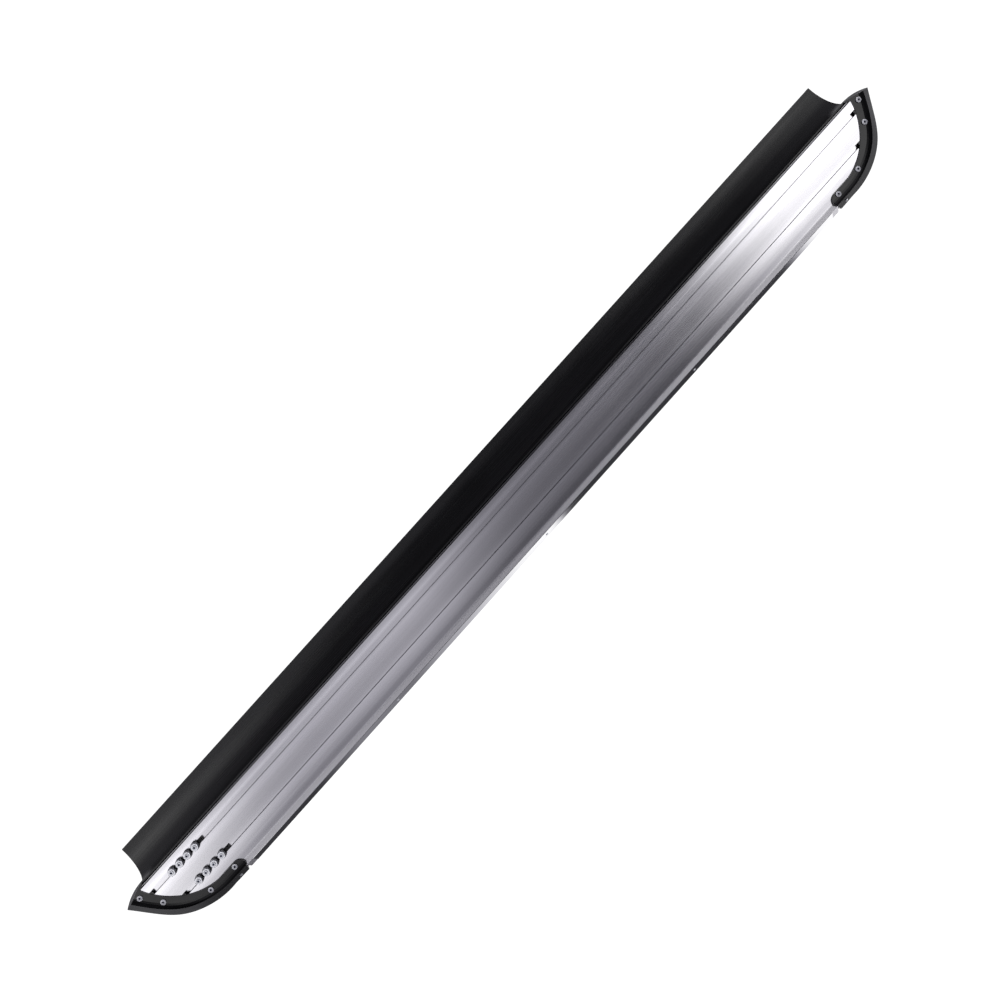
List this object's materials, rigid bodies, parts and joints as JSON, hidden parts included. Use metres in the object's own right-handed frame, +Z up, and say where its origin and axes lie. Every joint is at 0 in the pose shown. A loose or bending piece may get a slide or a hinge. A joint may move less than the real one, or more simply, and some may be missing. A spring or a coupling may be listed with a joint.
{
  "type": "vehicle running board",
  "caption": "Long aluminium side step with T-slots for sliding bolts, black end caps, a curved inner apron and a bright outer strip.",
  "frame": {"origin": "middle of the inner T-slot's length, in the plane of the underside", "axes": "+X along the board, +Y outboard, away from the vehicle, +Z up, out of the tread"},
  "size_m": [2.079, 0.1999, 0.0741],
  "materials": {
    "brushed_aluminium": "brushed, clear anodised",
    "black_rubber": "satin",
    "black_cap": "fine grain, semi-gloss face",
    "polished_strip": "polished stainless",
    "black_washer": "satin",
    "black_stopper": "matt",
    "tread_rubber": "matt, ribbed",
    "zinc_steel": "bright zinc"
  },
  "bodies": {
    "board": {"board_extrusion": "brushed_aluminium", "cap_screws_front": "zinc_steel", "cap_screws_rear": "zinc_steel", "cap_side_screw_front": "zinc_steel", "cap_side_screw_rear": "zinc_steel", "end_cap_front": "black_cap", "end_cap_rear": "black_cap", "inner_apron": "black_rubber", "outer_edge_trim": "polished_strip", "tread_strip_inner": "tread_rubber", "tread_strip_outer": "tread_rubber", "trim_rivets": "zinc_steel"},
    "slot_bolt_1_1": {"t_bolt_1_1": "zinc_steel", "spacer_1_1": "black_washer", "washer_1_1": "zinc_steel", "nut_1_1": "zinc_steel"},
    "slot_bolt_1_2": {"t_bolt_1_2": "zinc_steel", "spacer_1_2": "black_washer", "washer_1_2": "zinc_steel", "nut_1_2": "zinc_steel"},
    "slot_bolt_1_3": {"t_bolt_1_3": "zinc_steel", "spacer_1_3": "black_washer", "washer_1_3": "zinc_steel", "nut_1_3": "zinc_steel"},
    "slot_bolt_1_4": {"t_bolt_1_4": "zinc_steel", "spacer_1_4": "black_washer", "washer_1_4": "zinc_steel", "nut_1_4": "zinc_steel"},
    "slot_stopper_1": {"slot_stopper_1": "black_stopper"},
    "slot_bolt_2_1": {"t_bolt_2_1": "zinc_steel", "spacer_2_1": "black_washer", "washer_2_1": "zinc_steel", "nut_2_1": "zinc_steel"},
    "slot_bolt_2_2": {"t_bolt_2_2": "zinc_steel", "spacer_2_2": "black_washer", "washer_2_2": "zinc_steel", "nut_2_2": "zinc_steel"},
    "slot_bolt_2_3": {"t_bolt_2_3": "zinc_steel", "spacer_2_3": "black_washer", "washer_2_3": "zinc_steel", "nut_2_3": "zinc_steel"},
    "slot_bolt_2_4": {"t_bolt_2_4": "zinc_steel", "spacer_2_4": "black_washer", "washer_2_4": "zinc_steel", "nut_2_4": "zinc_steel"},
    "slot_stopper_2": {"slot_stopper_2": "black_stopper"}
  },
  "joints": [
    {"name": "slot_bolt_1_1_slide", "type": "slide", "parent": "board", "child": "slot_bolt_1_1", "axis": [1, 0, 0], "range_m": [-0.03, 0.36]},
    {"name": "slot_bolt_1_2_slide", "type": "slide", "parent": "slot_bolt_1_1", "child": "slot_bolt_1_2", "axis": [1, 0, 0], "range_m": [0, 0.36]},
    {"name": "slot_bolt_1_3_slide", "type": "slide", "parent": "slot_bolt_1_2", "child": "slot_bolt_1_3", "axis": [1, 0, 0], "range_m": [0, 0.36]},
    {"name": "slot_bolt_1_4_slide", "type": "slide", "parent": "slot_bolt_1_3", "child": "slot_bolt_1_4", "axis": [1, 0, 0], "range_m": [0, 0.36]},
    {"name": "slot_stopper_1_slide", "type": "slide", "parent": "slot_bolt_1_4", "child": "slot_stopper_1", "axis": [1, 0, 0], "range_m": [0, 0.36]},
    {"name": "slot_bolt_2_1_slide", "type": "slide", "parent": "board", "child": "slot_bolt_2_1", "axis": [1, 0, 0], "range_m": [-0.015, 0.35]},
    {"name": "slot_bolt_2_2_slide", "type": "slide", "parent": "slot_bolt_2_1", "child": "slot_bolt_2_2", "axis": [1, 0, 0], "range_m": [0, 0.35]},
    {"name": "slot_bolt_2_3_slide", "type": "slide", "parent": "slot_bolt_2_2", "child": "slot_bolt_2_3", "axis": [1, 0, 0], "range_m": [0, 0.35]},
    {"name": "slot_bolt_2_4_slide", "type": "slide", "parent": "slot_bolt_2_3", "child": "slot_bolt_2_4", "axis": [1, 0, 0], "range_m": [0, 0.35]},
    {"name": "slot_stopper_2_slide", "type": "slide", "parent": "slot_bolt_2_4", "child": "slot_stopper_2", "axis": [1, 0, 0], "range_m": [0, 0.35]}
  ]
}
